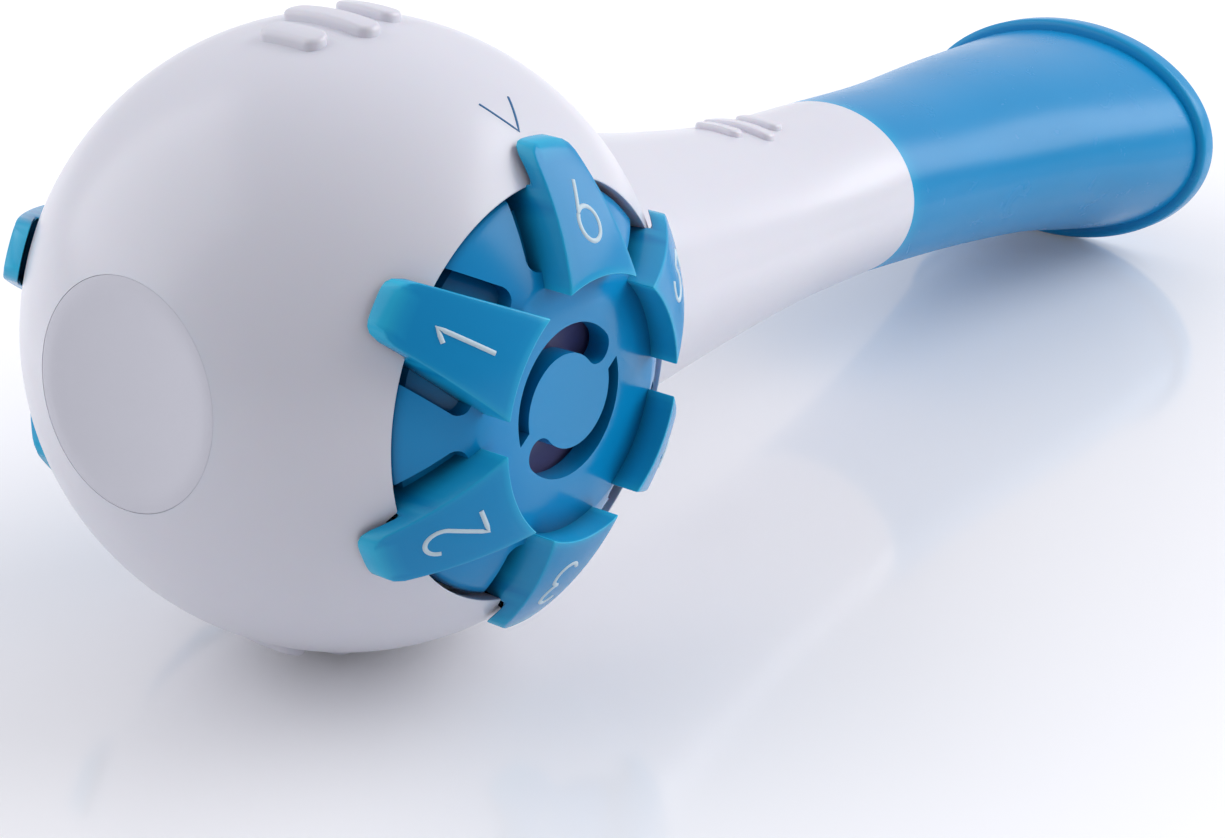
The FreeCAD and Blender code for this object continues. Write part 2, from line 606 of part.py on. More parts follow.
# The object at rest: tipped until the lip and the lower ribs share one level.
lip_reach = at("mouth_end") - size("lip_round")
lip_drop = math.hypot(lip_reach, size("lip_half_height"))
rest_height = size("ball_radius") + size("rib_height")
tilt = math.degrees(math.asin(rest_height / lip_drop) - math.atan2(size("lip_half_height"), lip_reach))
slope = math.radians(tilt)
pad_face = math.sqrt(size("ball_radius") ** 2 - size("foot_radius") ** 2)
back_end = -pad_face * math.cos(slope) - size("foot_radius") * math.sin(slope)
front_end = at("mouth_end") * math.cos(slope) + size("lip_half_height") * math.sin(slope)
rest = FreeCAD.Placement(FreeCAD.Vector(0, -(back_end + front_end) / 2, rest_height),
                         FreeCAD.Rotation(X_AXIS, -tilt))
nodes = [("upper_shell", upper_shell, rest), ("lower_shell", lower_shell, rest),
         ("foot_pad", foot_pad, rest), ("mouthpiece", mouthpiece, rest)]

# The inhale dial faces +X and stands at setting 6. The exhale dial faces -X, has five settings
# and a blank, and stands a fifth of a step short of a click.
TO_RIGHT = FreeCAD.Rotation(Y_AXIS, Z_AXIS, X_AXIS, "XYZ")
TO_LEFT = FreeCAD.Rotation(-Y_AXIS, Z_AXIS, -X_AXIS, "XYZ")
EXHALE_REST_ANGLE = -12
INHALE_TURNS = [label * size("dial_pitch_angle") for label in (1, 2, 3, 4, 5, 6)]
EXHALE_TURNS = [EXHALE_REST_ANGLE + turn for turn in INHALE_TURNS[:-1]]
GRILLE_TURNS = (30, 90, 150, 210, 270, 330)
for side, turns, facing, opens_inward in (("inhale", INHALE_TURNS, TO_RIGHT, True),
                                          ("exhale", EXHALE_TURNS, TO_LEFT, False)):
    seat = rest.multiply(FreeCAD.Placement(FreeCAD.Vector(), facing))
    for piece in (dial(side, turns), metering_disc(side, turns), valve_cup(side), valve_grille(side),
                  valve_disc(side, opens_inward), cup_seal(side), click_spring(side), dial_screw(side)):
        nodes.append((piece.Name, piece, seat))

doc.recompute()
for name, piece, place in nodes:
    piece.Label = name
    piece.Placement = place
doc.recompute()

broken = [item.Label for item in doc.Objects if {"Invalid", "Error"} & set(item.State)]
if broken:
    raise RuntimeError("not built: %s" % ", ".join(broken))
for name, piece, place in nodes:
    if piece.Shape.isNull() or not piece.Shape.isValid():
        raise RuntimeError("no sound solid: " + name)
os.makedirs("parts", exist_ok=True)
whole = FreeCAD.BoundBox()
for name, piece, place in nodes:
    piece.Shape.exportStep(os.path.join("parts", name + ".step"))
    print("%-22s %d solid, %.1f mm3" % (name, len(piece.Shape.Solids), piece.Shape.Volume))
    whole.add(piece.Shape.BoundBox)
print("tilt %.3f degrees, ball centre at y %.3f z %.3f" % (tilt, rest.Base.y, rest.Base.z))
print("box %s" % whole)
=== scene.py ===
import json
import math
import bpy
from mathutils import Matrix, Vector


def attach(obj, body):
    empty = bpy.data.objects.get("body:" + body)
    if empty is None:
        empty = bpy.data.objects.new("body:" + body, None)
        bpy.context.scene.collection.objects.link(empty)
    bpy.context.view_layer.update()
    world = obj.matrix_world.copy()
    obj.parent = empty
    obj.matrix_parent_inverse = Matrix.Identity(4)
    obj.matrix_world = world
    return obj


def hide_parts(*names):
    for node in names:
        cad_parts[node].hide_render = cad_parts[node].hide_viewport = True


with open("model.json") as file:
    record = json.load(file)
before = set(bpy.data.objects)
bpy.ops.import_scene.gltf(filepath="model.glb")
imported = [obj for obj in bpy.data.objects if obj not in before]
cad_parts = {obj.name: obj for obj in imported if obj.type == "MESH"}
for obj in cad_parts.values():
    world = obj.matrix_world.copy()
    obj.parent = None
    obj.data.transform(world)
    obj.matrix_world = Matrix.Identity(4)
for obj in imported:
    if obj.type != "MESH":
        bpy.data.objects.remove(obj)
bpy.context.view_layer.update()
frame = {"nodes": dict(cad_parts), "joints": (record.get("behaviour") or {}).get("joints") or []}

# The lay of the object: it rests on its side, with the tube dipping toward the table.
# The dial joint gives the ball's centre and the mouthpiece's slide gives the tube's direction.
# Pieces are shaped in millimetres about the ball's centre, +Y along the tube, and then laid down.
MILLIMETRE = 0.001
joints = {joint["name"]: joint for joint in frame["joints"]}
ball_centre = Vector(joints["inhale_dial_turn"]["pos_m"])
tube_axis = Vector(joints["mouthpiece_pull"]["axis"]).normalized()
dip = math.asin(-tube_axis.z)
LAY = Matrix.Translation(ball_centre) @ Matrix.Rotation(-dip, 4, "X") @ Matrix.Scale(MILLIMETRE, 4)


# Casing: ball and tube, moulded in glossy white ABS as two halves welded along the sides.
# The ball has a round opening each side for a dial, a pocket for the end pad and three grip ribs
# above and below. The tube has three more ribs each way, and an oval socket for the mouthpiece.
BALL_RADIUS = 30.0
SHELL_WALL = 2.0
HOLE_RADIUS = 19.45
HOLE_EDGE_ROUND = 0.25
RING_RADIUS = 22.4
RING_END = 15.1
HOLE_OVERLAP = 1.0
GROOVE_RADIUS = 20.7
GROOVE_START = 16.5
GROOVE_END = 19.3
TUBE_END = 83.0
NECK_ROUND = 1.3
# Stations of an oval: place along the tube, half width, half height, lift above the axis.
TUBE_STATIONS = ((20.0, 18.6, 15.9, 0.0), (31.5, 17.2, 14.5, 0.0), (48.0, 15.0, 12.2, 0.0),
                 (66.0, 13.3, 10.5, 0.3), (TUBE_END, 12.6, 10.3, 0.9))
AIRWAY_STATIONS = ((20.0, 16.6, 13.9, 0.0), (31.5, 15.2, 12.5, 0.0), (48.0, 13.0, 10.2, 0.0),
                   (69.0, 11.3, 8.5, 0.3))
SOCKET_OVAL = (10.06, 7.86, 0.9)
SOCKET_BOTTOM = 68.0
SOCKET_TOOL_END = 90.0
PAST_BALL = 40.0
OVAL_POINTS = 144
ROUND_POINTS = 160
INSIDE_POINTS = 96


def only(piece):
    """Leave edit mode and select this piece alone."""
    if bpy.context.mode != "OBJECT":
        bpy.ops.object.mode_set(mode="OBJECT")
    bpy.ops.object.select_all(action="DESELECT")
    piece.select_set(True)
    bpy.context.view_layer.objects.active = piece
    return piece


def added(name):
    """Name the primitive that was just added, and fix its place into its mesh."""
    piece = bpy.context.object
    piece.name = name
    bpy.ops.object.transform_apply(location=True, rotation=True, scale=True)
    return piece


def pick(piece, edges=None, faces=None):
    """Go to edit mode with just these edges or faces selected."""
    only(piece)
    bpy.ops.object.mode_set(mode="EDIT")
    bpy.ops.mesh.select_mode(type="EDGE" if edges else "FACE")
    bpy.ops.mesh.select_all(action="DESELECT")
    bpy.ops.object.mode_set(mode="OBJECT")
    mesh = piece.data
    for edge in mesh.edges if edges else ():
        edge.select = edges(*(mesh.vertices[number].co for number in edge.vertices))
    for face in mesh.polygons if faces else ():
        face.select = faces(face)
    bpy.ops.object.mode_set(mode="EDIT")


def close_up(piece):
    """Turn every face of a closed shape outwards, and leave edit mode."""
    only(piece)
    bpy.ops.object.mode_set(mode="EDIT")
    bpy.ops.mesh.select_all(action="SELECT")
    bpy.ops.mesh.normals_make_consistent(inside=False)
    return only(piece)


def carve(piece, tool, operation="DIFFERENCE"):
    """Cut or add one closed shape with another, and drop the tool."""
    only(piece)
    boolean = piece.modifiers.new("carve", "BOOLEAN")
    boolean.operation = operation
    boolean.solver = "EXACT"
    boolean.object = tool
    bpy.ops.object.modifier_apply(modifier=boolean.name)
    bpy.data.objects.remove(tool)


def settle(piece, place, body, material, smooth=35.0):
    """Lay a finished piece down, shade it, and hand it to its body and finish."""
    only(piece)
    bpy.ops.object.shade_smooth_by_angle(angle=math.radians(smooth))
    piece.data.transform(place)
    piece.data.materials.clear()
    piece.data.materials.append(material)
    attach(piece, body)


def between(stations, step):
    """Stations along a smooth curve through the given ones, a step apart."""
    finer = []
    for number in range(len(stations) - 1):
        near, far = Vector(stations[number]), Vector(stations[number + 1])
        before = Vector(stations[max(number - 1, 0)])
        after = Vector(stations[min(number + 2, len(stations) - 1)])
        run = far[0] - near[0]
        near_slope = (far - before) * (run / (far[0] - before[0]))
        far_slope = (after - near) * (run / (after[0] - near[0]))
        count = max(2, round(run / step))
        for part in range(count):
            share = part / count
            finer.append((2 * share ** 3 - 3 * share ** 2 + 1) * near
                         + (share ** 3 - 2 * share ** 2 + share) * near_slope
                         + (3 * share ** 2 - 2 * share ** 3) * far
                         + (share ** 3 - share ** 2) * far_slope)
    return finer + [Vector(stations[-1])]


def oval_bar(name, stations, points=OVAL_POINTS):
    """A closed bar of oval section: an upright oval, extruded and resized station by station."""
    along, half_width, half_height, lift = stations[0]
    bpy.ops.object.select_all(action="DESELECT")
    bpy.ops.mesh.primitive_circle_add(vertices=points, radius=1.0, fill_type="NGON",
                                      rotation=(math.radians(90), 0, 0))
    piece = bpy.context.object
    piece.scale = (half_width, half_height, 1.0)
    piece.location = (0, along, lift)
    piece = added(name)
    bpy.ops.object.mode_set(mode="EDIT")
    bpy.ops.mesh.select_all(action="SELECT")
    for station in stations[1:]:
        move = (0, station[0] - along, station[3] - lift)
        bpy.ops.mesh.extrude_region_move(TRANSFORM_OT_translate={"value": move})
        bpy.ops.transform.resize(value=(station[1] / half_width, 1, station[2] / half_height),
                                 center_override=(0, station[0], station[3]))
        along, half_width, half_height, lift = station
    return close_up(piece)


def round_bar(name, radius, start, end, axis, points=ROUND_POINTS):
    """A plain round tool along X or Y, from one distance to another."""
    way = Vector((1, 0, 0)) if axis == "X" else Vector((0, 1, 0))
    turn = (0, math.radians(90), 0) if axis == "X" else (math.radians(90), 0, 0)
    bpy.ops.object.select_all(action="DESELECT")
    bpy.ops.mesh.primitive_cylinder_add(vertices=points, radius=radius, depth=abs(end - start),
                                        location=way * (start + end) / 2, rotation=turn)
    return added(name)


def neck_flare(half, along):
    """Half a width of the tube with the hollow rounding where it leaves the ball."""
    out = half + NECK_ROUND
    clear = math.sqrt((BALL_RADIUS + NECK_ROUND) ** 2 - out ** 2)
    on_ball = clear * BALL_RADIUS / (BALL_RADIUS + NECK_ROUND)
    if along >= clear:
        return half
    return out - math.sqrt(NECK_ROUND ** 2 - (clear - max(along, on_ball)) ** 2)


def barrel(radius, out, steps):
    """Places over a ball along an axis, from a circle of this radius to the like one opposite."""
    start = math.asin(out / radius)
    return [(-radius * math.cos(turn), radius * math.sin(turn))
            for turn in (start + (math.pi - 2 * start) * step / steps for step in range(steps + 1))]


def across(name, places, points):
    """A solid turned about the dials' axis, from places along it and the radius at each."""
    piece = oval_bar(name, [(along, radius, radius, 0.0) for along, radius in places], points)
    piece.data.transform(Matrix.Rotation(math.radians(-90), 4, "Z"))
    return piece


# The opening's profile, from its floor out over its rounded edge to the ball's surface.
hole_plane = math.sqrt(BALL_RADIUS ** 2 - HOLE_RADIUS ** 2)
edge_radius = HOLE_RADIUS + HOLE_EDGE_ROUND
sharp_edge = Vector((hole_plane, HOLE_RADIUS))
edge_inside = Vector((hole_plane - HOLE_EDGE_ROUND, HOLE_RADIUS))
edge_outside = Vector((math.sqrt(BALL_RADIUS ** 2 - edge_radius ** 2), edge_radius))
opening = [(RING_END - HOLE_OVERLAP, HOLE_RADIUS)]
for share in (0.0, 0.33, 0.67):
    near, far = edge_inside.lerp(sharp_edge, share), sharp_edge.lerp(edge_outside, share)
    opening.append(tuple(near.lerp(far, share)))
casing = across("casing_halves", [(-along, radius) for along, radius in opening]
                + barrel(BALL_RADIUS, edge_radius, steps=72) + opening[::-1], ROUND_POINTS)
tube = [(along, neck_flare(half_width, along), neck_flare(half_height, along), lift)
        for along, half_width, half_height, lift in between(TUBE_STATIONS, 0.5)]
carve(casing, oval_bar("tube_outside", tube), "UNION")

PAD_RADIUS = 10.5
PAD_THICKNESS = 1.5
PAD_GAP = 0.02
PAD_BOSS_WALL = 2.0
pad_face = math.sqrt(BALL_RADIUS ** 2 - PAD_RADIUS ** 2)
inside_ball = barrel(BALL_RADIUS - SHELL_WALL, RING_RADIUS, steps=48)
hollow = across("ball_room", [(-RING_END, RING_RADIUS), *inside_ball, (RING_END, RING_RADIUS)], INSIDE_POINTS)
carve(hollow, round_bar("pad_boss", PAD_RADIUS + PAD_BOSS_WALL, -PAST_BALL,
                        PAD_THICKNESS + PAD_BOSS_WALL - pad_face, "Y"))
carve(casing, hollow)
carve(casing, oval_bar("airway", between(AIRWAY_STATIONS, 3.0), INSIDE_POINTS))
carve(casing, oval_bar("tube_socket", [(SOCKET_BOTTOM, *SOCKET_OVAL), (SOCKET_TOOL_END, *SOCKET_OVAL)]))
for way in (1, -1):
    carve(casing, round_bar("valve_groove", GROOVE_RADIUS, way * GROOVE_START, way * GROOVE_END, "X"))
carve(casing, round_bar("pad_pocket", PAD_RADIUS + PAD_GAP, -PAST_BALL, PAD_THICKNESS - pad_face, "Y"))


# A rib starts as a block this high, cut across at this step so that its top can follow the casing.
RIB_BLOCK = 2.5
RIB_CUT_STEP = 0.7


def grip_rib(along, length, width, corner, edge_round, top, level):
    """A rounded bar across the casing, its top following the surface given by top(x, y)."""
    bpy.ops.object.select_all(action="DESELECT")
    bpy.ops.mesh.primitive_cube_add(size=1.0, location=(0, along, level * (top(0, along) - RIB_BLOCK / 2)))
    bpy.context.object.scale = (length, width, RIB_BLOCK)
    rib = added("grip_rib")
    flat = length / 2 - width / 2 - 0.2
    cuts = max(2, round(flat / RIB_CUT_STEP))
    for step in range(-cuts, cuts + 1):
        pick(rib, faces=lambda face: True)
        bpy.ops.mesh.bisect(plane_co=(flat * step / cuts, 0, 0), plane_no=(1, 0, 0))
    pick(rib, edges=lambda one, other: abs(one.z - other.z) > 1 and abs(one.x) > length / 2 - 0.01)
    bpy.ops.mesh.bevel(offset=corner, segments=8, affect="EDGES")
    crest = level * top(0, along)
    pick(rib, faces=lambda face: face.normal.z * level > 0.9)
    bpy.ops.mesh.region_to_loop()
    bpy.ops.mesh.bevel(offset=edge_round, segments=4, affect="EDGES")
    only(rib)
    for vertex in rib.data.vertices:
        vertex.co.z += level * top(vertex.co.x, vertex.co.y) - crest
    return close_up(rib)


RIB_HEIGHT = 0.9
# Each rib's place along the tube's axis and its length across it.
RIBS = ((-8.6, 7.0), (-3.7, 10.6), (1.2, 7.0))
TUBE_RIB_HEIGHT = 0.7
TUBE_RIBS = ((60.0, 5.8), (64.0, 9.2), (68.0, 5.8))


def ball_rib_top(x, y):
    """The ball ribs' height at a place, whichever side of the ball they are on."""
    return math.sqrt((BALL_RADIUS + RIB_HEIGHT) ** 2 - x ** 2 - y ** 2)


def tube_rib_top(x, y, level):
    """The tube ribs' height at a place, above (1) or below (-1), where the oval's lift counts."""
    near = min(between(TUBE_STATIONS, 0.5), key=lambda station: abs(station[0] - y))
    half_width, half_height = near[1] + TUBE_RIB_HEIGHT, near[2] + TUBE_RIB_HEIGHT
    return level * near[3] + half_height * math.sqrt(1 - (x / half_width) ** 2)


for level in (1, -1):
    for along, length in RIBS:
        rib = grip_rib(along, length, width=2.6, corner=1.2, edge_round=0.45, top=ball_rib_top, level=level)
        carve(casing, rib, "UNION")
    for along, length in TUBE_RIBS:
        rib = grip_rib(along, length, width=2.0, corner=0.9, edge_round=0.35,
                       top=lambda x, y: tube_rib_top(x, y, level), level=level)
        carve(casing, rib, "UNION")


def group_node(tree, kind, **values):
    """A node in a tree, with its sockets set by name."""
    node = tree.nodes.new(kind)
    for socket, value in values.items():
        node.inputs[socket.replace("_", " ")].default_value = value
    return node


def moulded_skin():
    """Node group: the faint mottle, polish marks and fine grain of a moulded plastic surface."""
    tree = bpy.data.node_groups.new("moulded_skin", "ShaderNodeTree")
    for name, kind, start in (("Colour", "NodeSocketColor", (0.5, 0.5, 0.5, 1.0)),
                              ("Mottle", "NodeSocketFloat", 0.05),
                              ("Gloss Roughness", "NodeSocketFloat", 0.25),
                              ("Polish Marks", "NodeSocketFloat", 0.08),
                              ("Grain Scale", "NodeSocketFloat", 2500.0)):
        tree.interface.new_socket(name, in_out="INPUT", socket_type=kind).default_value = start
    for name, kind in (("Colour", "NodeSocketColor"), ("Roughness", "NodeSocketFloat"),
                       ("Height", "NodeSocketFloat")):
        tree.interface.new_socket(name, in_out="OUTPUT", socket_type=kind)
    inlet = tree.nodes.new("NodeGroupInput")
    outlet = tree.nodes.new("NodeGroupOutput")
    place = tree.nodes.new("ShaderNodeTexCoord")
    broad = group_node(tree, "ShaderNodeTexNoise", Scale=55.0, Detail=3.0, Roughness=0.5)
    marks = group_node(tree, "ShaderNodeTexNoise", Scale=240.0, Detail=5.0, Roughness=0.6, Distortion=0.8)
    grain = group_node(tree, "ShaderNodeTexNoise", Detail=2.0, Roughness=0.5)
    for noise in (broad, marks, grain):
        tree.links.new(place.outputs["Object"], noise.inputs["Vector"])
    tree.links.new(inlet.outputs["Grain Scale"], grain.inputs["Scale"])
    uneven = group_node(tree, "ShaderNodeMapRange", From_Min=0.3, From_Max=0.7, To_Min=-0.5, To_Max=0.5)
    amount = tree.nodes.new("ShaderNodeMath")
    amount.operation = "MULTIPLY"
    level = tree.nodes.new("ShaderNodeMath")
    level.operation = "ADD"
    level.inputs[1].default_value = 1.0
    tint = tree.nodes.new("ShaderNodeVectorMath")
    tint.operation = "SCALE"
    tree.links.new(broad.outputs["Fac"], uneven.inputs["Value"])
    tree.links.new(uneven.outputs["Result"], amount.inputs[0])
    tree.links.new(inlet.outputs["Mottle"], amount.inputs[1])
    tree.links.new(amount.outputs["Value"], level.inputs[0])
    tree.links.new(inlet.outputs["Colour"], tint.inputs[0])
    tree.links.new(level.outputs["Value"], tint.inputs["Scale"])
    tree.links.new(tint.outputs["Vector"], outlet.inputs["Colour"])
    streak = group_node(tree, "ShaderNodeMapRange", From_Min=0.35, From_Max=0.7, To_Min=0.0, To_Max=1.0)
    rougher = tree.nodes.new("ShaderNodeMath")
    rougher.operation = "MULTIPLY_ADD"
    tree.links.new(marks.outputs["Fac"], streak.inputs["Value"])
    tree.links.new(streak.outputs["Result"], rougher.inputs[0])
    tree.links.new(inlet.outputs["Polish Marks"], rougher.inputs[1])
    tree.links.new(inlet.outputs["Gloss Roughness"], rougher.inputs[2])
    tree.links.new(rougher.outputs["Value"], outlet.inputs["Roughness"])
    tree.links.new(grain.outputs["Fac"], outlet.inputs["Height"])
    return tree


skin = moulded_skin()


def plastic(name, colour, mottle, roughness, marks, grain_scale, grain_depth, **values):
    """A finish whose colour, gloss and fine grain come from the moulded skin; grain depth in metres."""
    material = bpy.data.materials.new(name)
    material.use_nodes = True
    tree = material.node_tree
    shader = tree.nodes["Principled BSDF"]
    for socket, value in values.items():
        shader.inputs[socket.replace("_", " ")].default_value = value
    surface = tree.nodes.new("ShaderNodeGroup")
    surface.node_tree = skin
    for socket, value in (("Colour", colour), ("Mottle", mottle), ("Gloss Roughness", roughness),
                          ("Polish Marks", marks), ("Grain Scale", grain_scale)):
        surface.inputs[socket].default_value = value
    bump = group_node(tree, "ShaderNodeBump", Strength=0.5, Distance=grain_depth)
    tree.links.new(surface.outputs["Colour"], shader.inputs["Base Color"])
    tree.links.new(surface.outputs["Roughness"], shader.inputs["Roughness"])
    tree.links.new(surface.outputs["Height"], bump.inputs["Height"])
    tree.links.new(bump.outputs["Normal"], shader.inputs["Normal"])
    return material


white_abs = plastic("white_gloss_abs", (0.76, 0.76, 0.83, 1.0), mottle=0.02, roughness=0.3, marks=0.05,
                    grain_scale=2500.0, grain_depth=0.000005, IOR=1.5, Subsurface_Weight=0.1,
                    Subsurface_Scale=0.002, Coat_Weight=0.3, Coat_Roughness=0.2)
settle(casing, LAY, "casing", white_abs)
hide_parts("upper_shell", "lower_shell")

# End pad: a satin ABS disc glued into the ball opposite the tube, on which the object can stand.
# A flat ring runs round it and its middle is slightly dished.
PAD_LAND = 1.3
PAD_DISH = 0.6
PAD_CHAMFER = 0.3
DISH_STEPS = 14


def turned(name, profile, points=ROUND_POINTS):
    """A solid of revolution about +Z, from a profile of radius and height."""
    piece = oval_bar(name, [(height, radius, radius, 0.0) for radius, height in profile], points)
    piece.data.transform(Matrix.Rotation(math.radians(90), 4, "X"))
    return piece


pad_profile = [(PAD_RADIUS - PAD_CHAMFER, PAD_THICKNESS), (PAD_RADIUS, PAD_THICKNESS - PAD_CHAMFER),
               (PAD_RADIUS, 0.1), (PAD_RADIUS - 0.03, 0.03), (PAD_RADIUS - 0.1, 0.0)]
dish_radius = PAD_RADIUS - PAD_LAND
for step in range(DISH_STEPS):
    out = dish_radius * (1 - step / DISH_STEPS)
    pad_profile.append((out, PAD_DISH * (1 - (out / dish_radius) ** 2)))
pad = turned("end_pad", pad_profile)
pad_satin = plastic("pale_satin_abs", (0.72, 0.72, 0.79, 1.0), mottle=0.03, roughness=0.42, marks=0.08,
                    grain_scale=2600.0, grain_depth=0.00003, IOR=1.5)
settle(pad, LAY @ Matrix.Translation((0, -pad_face, 0)) @ Matrix.Rotation(math.radians(-90), 4, "X"),
       "casing", pad_satin)
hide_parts("foot_pad")

# Mouthpiece: a push-on oval tube moulded in translucent blue polypropylene. It widens to the
# lips and ends in a rim band, and its spigot is pushed into the tube's socket.
SPIGOT_OVAL = (10.0, 7.8, 0.9)
SPIGOT_BORE = (8.5, 6.3, 0.9)
SPIGOT_START = 70.0
SPIGOT_OVERLAP = 1.0
MOUTH_STATIONS = ((TUBE_END, 12.6, 10.3, 0.9), (101.0, 14.2, 10.4, 1.0), (120.0, 16.9, 11.3, 1.1),
                  (135.0, 19.4, 12.5, 0.4), (143.0, 20.6, 13.2, 0.0))
BORE_STATIONS = ((TUBE_END, *SPIGOT_BORE), (101.0, 12.4, 8.6, 1.0), (120.0, 15.1, 9.5, 1.1),
                 (135.0, 17.6, 10.7, 0.4), (147.0, 18.9, 11.5, 0.0))
RIM_START = 142.4
MOUTH_END = 145.8
RIM_OVAL = (21.6, 14.6, 0.0)
RIM_ROUND = 0.8
mouthpiece = oval_bar("mouthpiece_body", between(MOUTH_STATIONS, 1.5))
rim = oval_bar("rim_band", [(RIM_START, *RIM_OVAL), (MOUTH_END, *RIM_OVAL)])
pick(rim, faces=lambda face: abs(face.normal.y) > 0.9)
bpy.ops.mesh.region_to_loop()
bpy.ops.mesh.bevel(offset=RIM_ROUND, segments=5, affect="EDGES")
carve(mouthpiece, only(rim), "UNION")
spigot = [(along, *SPIGOT_OVAL) for along in (SPIGOT_START, TUBE_END + SPIGOT_OVERLAP)]
carve(mouthpiece, oval_bar("spigot", spigot), "UNION")
carve(mouthpiece, oval_bar("bore", between(BORE_STATIONS, 2.0)))
spigot_bore = [(along, *SPIGOT_BORE) for along in (SPIGOT_START - 10.0, TUBE_END + 0.5)]
carve(mouthpiece, oval_bar("spigot_bore", spigot_bore))


def painted_edge_light_and_groove_shade():
    """Node group: painted light for thin blue plastic, a paler colour painted along its sharp edges as a
    highlight and painted shade darkening its grooves.
    """
    tree = bpy.data.node_groups.new("painted_edge_light_and_groove_shade", "ShaderNodeTree")
    for name, kind, start in (("Colour", "NodeSocketColor", (0.5, 0.5, 0.5, 1.0)),
                              ("Painted Highlight Colour", "NodeSocketColor", (0.8, 0.8, 0.8, 1.0)),
                              ("Painted Highlight Strength", "NodeSocketFloat", 1.0),
                              ("Painted Shade Reach", "NodeSocketFloat", 0.003),
                              ("Painted Shade Level", "NodeSocketFloat", 0.4)):
        tree.interface.new_socket(name, in_out="INPUT", socket_type=kind).default_value = start
    tree.interface.new_socket("Colour", in_out="OUTPUT", socket_type="NodeSocketColor")
    inlet = tree.nodes.new("NodeGroupInput")
    outlet = tree.nodes.new("NodeGroupOutput")
    surface = tree.nodes.new("ShaderNodeNewGeometry")
    # Painted highlight: pointiness marks the sharp edges, and their colour is blended toward the pale edge
    # colour.
    painted_highlight_mask = group_node(tree, "ShaderNodeMapRange", From_Min=0.503, From_Max=0.56, To_Min=0.0)
    blend = tree.nodes.new("ShaderNodeMixRGB")
    # Painted shade: ambient occlusion darkens the colour down in grooves and recesses.
    open_sky = tree.nodes.new("ShaderNodeAmbientOcclusion")
    open_sky.samples = 8
    shade = group_node(tree, "ShaderNodeMapRange", From_Min=0.25, From_Max=0.85, To_Max=1.0)
    darker = tree.nodes.new("ShaderNodeVectorMath")
    darker.operation = "SCALE"
    tree.links.new(surface.outputs["Pointiness"], painted_highlight_mask.inputs["Value"])
    tree.links.new(inlet.outputs["Painted Highlight Strength"], painted_highlight_mask.inputs["To Max"])
    tree.links.new(painted_highlight_mask.outputs["Result"], blend.inputs["Fac"])
    tree.links.new(inlet.outputs["Colour"], blend.inputs["Color1"])
    tree.links.new(inlet.outputs["Painted Highlight Colour"], blend.inputs["Color2"])
    tree.links.new(inlet.outputs["Painted Shade Reach"], open_sky.inputs["Distance"])
    tree.links.new(open_sky.outputs["AO"], shade.inputs["Value"])
    tree.links.new(inlet.outputs["Painted Shade Level"], shade.inputs["To Min"])
    tree.links.new(blend.outputs["Color"], darker.inputs[0])
    tree.links.new(shade.outputs["Result"], darker.inputs["Scale"])
    tree.links.new(darker.outputs["Vector"], outlet.inputs["Colour"])
    return tree


# The painted edge highlight and painted groove shade that the blue materials share.
depth = painted_edge_light_and_groove_shade()
BLUE = (0.002, 0.28, 0.61, 1.0)
# The pale cyan painted along the blue plastic's edges as a highlight.
PAINTED_HIGHLIGHT_BLUE = (0.03, 0.58, 0.85, 1.0)


def blue_plastic(name, roughness, mottle, painted_edge_highlight, painted_groove_shade):
    """The blue polypropylene, with a pale highlight painted along its edges at the given strength and painted
    shade in its grooves down to the given colour level.
    """
    material = plastic(name, BLUE, mottle, roughness, marks=0.04, grain_scale=2500.0,
                       grain_depth=0.000005, IOR=1.49, Specular_IOR_Level=0.28)
    tree = material.node_tree
    shader = tree.nodes["Principled BSDF"]
    edge = tree.nodes.new("ShaderNodeGroup")
    edge.node_tree = depth
    edge.inputs["Painted Highlight Colour"].default_value = PAINTED_HIGHLIGHT_BLUE
    edge.inputs["Painted Highlight Strength"].default_value = painted_edge_highlight
    edge.inputs["Painted Shade Level"].default_value = painted_groove_shade
    tree.links.new(shader.inputs["Base Color"].links[0].from_socket, edge.inputs["Colour"])
    tree.links.new(edge.outputs["Colour"], shader.inputs["Base Color"])
    return material


# The mouthpiece gets a faint painted edge highlight and no painted groove shade.
mouth_blue = blue_plastic("blue_satin_polypropylene", roughness=0.24, mottle=0.05, painted_edge_highlight=0.3,
                          painted_groove_shade=1.0)
settle(mouthpiece, LAY, "mouthpiece", mouth_blue)
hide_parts("mouthpiece")

# Dials: one each side, a domed cap in the same blue plastic, held by a screw in its centre post.
# Finger paddles with printed white numbers stand in grooves that end in notches, and two curved
# vents let the air through. Each is shaped about its own axis, +Z outward, +Y toward the grip ribs.
DOME_RADIUS = 29.2
DIAL_RADIUS = 19.0
HUB_FACE = 26.5
CAP_WALL = 2.2
SKIRT_WALL = 1.4
SKIRT_BOTTOM = 19.7
DIAL_EDGE = 0.25
# The post's shoulder and end, as radius and height.
POST_STEPS = ((3.55, 23.6), (3.0, 23.6), (3.0, 16.55))
CROWN_RADIUS = 31.9
# A paddle's inner and outer end, as distance off the axis and half width.
PADDLE_INNER = (12.15, 4.75)
PADDLE_OUTER = (22.8, 3.0)
PADDLE_FLOAT = 0.5
PADDLE_ROOT = 1.9
PADDLE_EDGE_ROUND = 0.45
CHANNEL_WIDTH = 1.1
CHANNEL_DEPTH = 1.3
CHANNEL_BACK = 0.4
CHANNEL_SPREAD = 1.6
CHANNEL_CORNER = 1.0
CHANNEL_BOTTOM = 20.5
NOTCH_WIDTH = 1.6
VENT_OUTER = 7.2
VENT_INNER = 4.9
VENT_TAPER = 0.9
VENT_CAP = 1.55
VENT_SWEEP = 155.0
VENT_START = 48.0
VENT_BOTTOM = 23.0
TOOL_TOP = 35.0


def arc(radius, start, end, steps):
    """Profile points on a ball about the dial axis, from one distance off the axis to another."""
    return [(out, math.sqrt(radius ** 2 - out ** 2))
            for out in (start + (end - start) * step / steps for step in range(steps + 1))]


